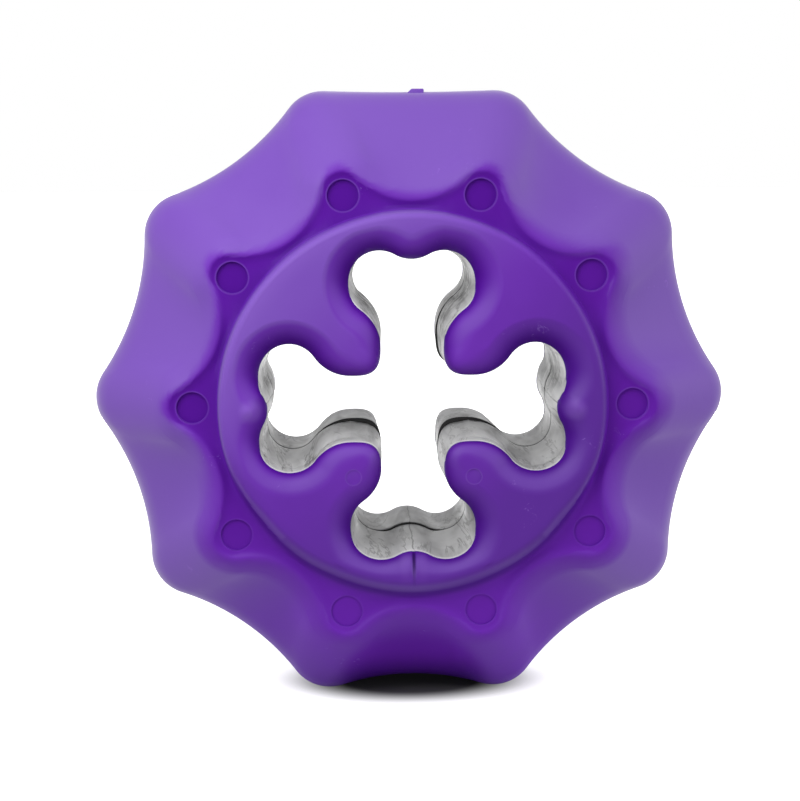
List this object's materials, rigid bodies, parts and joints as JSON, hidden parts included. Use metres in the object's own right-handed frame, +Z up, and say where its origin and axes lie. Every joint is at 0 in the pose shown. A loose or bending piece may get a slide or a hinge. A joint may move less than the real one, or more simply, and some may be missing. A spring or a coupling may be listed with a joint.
{
  "type": "bully stick holder",
  "caption": "Scalloped soft-covered disc in two sliding halves with a cross-shaped opening that a key-turned screw closes on a chew stick.",
  "frame": {"origin": "on the surface the holder stands on, under its centre", "axes": "+Z up, holder's axis along Y with its front face towards -Y, +X to the right seen from the front"},
  "size_m": [0.083, 0.034, 0.0795],
  "materials": {
    "front_cover": "satin moulded soft rubber",
    "rear_cover": "satin moulded soft rubber",
    "front_core": "natural nylon, satin, faintly streaked",
    "rear_core": "natural nylon, satin, faintly streaked",
    "clamp_screw": "stainless",
    "clamp_nut": "stainless",
    "thrust_pad": "stainless",
    "guide_screws": "stainless"
  },
  "bodies": {
    "front_half": {"front_cover": "front_cover", "front_core": "front_core", "thrust_pad": "thrust_pad", "guide_screw_upper_left": "guide_screws", "guide_screw_upper_right": "guide_screws", "guide_screw_lower_left": "guide_screws", "guide_screw_lower_right": "guide_screws"},
    "rear_half": {"rear_cover": "rear_cover", "rear_core": "rear_core", "clamp_nut": "clamp_nut"},
    "clamp_screw": {"clamp_screw": "clamp_screw"}
  },
  "joints": [
    {"name": "clamp_slide", "type": "slide", "parent": "front_half", "child": "rear_half", "axis": [0, 0, 1], "range_m": [0, 0.005]},
    {"name": "screw_turn", "type": "hinge", "parent": "front_half", "child": "clamp_screw", "pos_m": [0, 0, 0.06839], "axis": [0, 0, 1], "range_deg": [-2260, 0]}
  ],
  "couplings": [
    {"joint": "screw_turn", "follows": "clamp_slide", "rad_per_m": -7854}
  ]
}
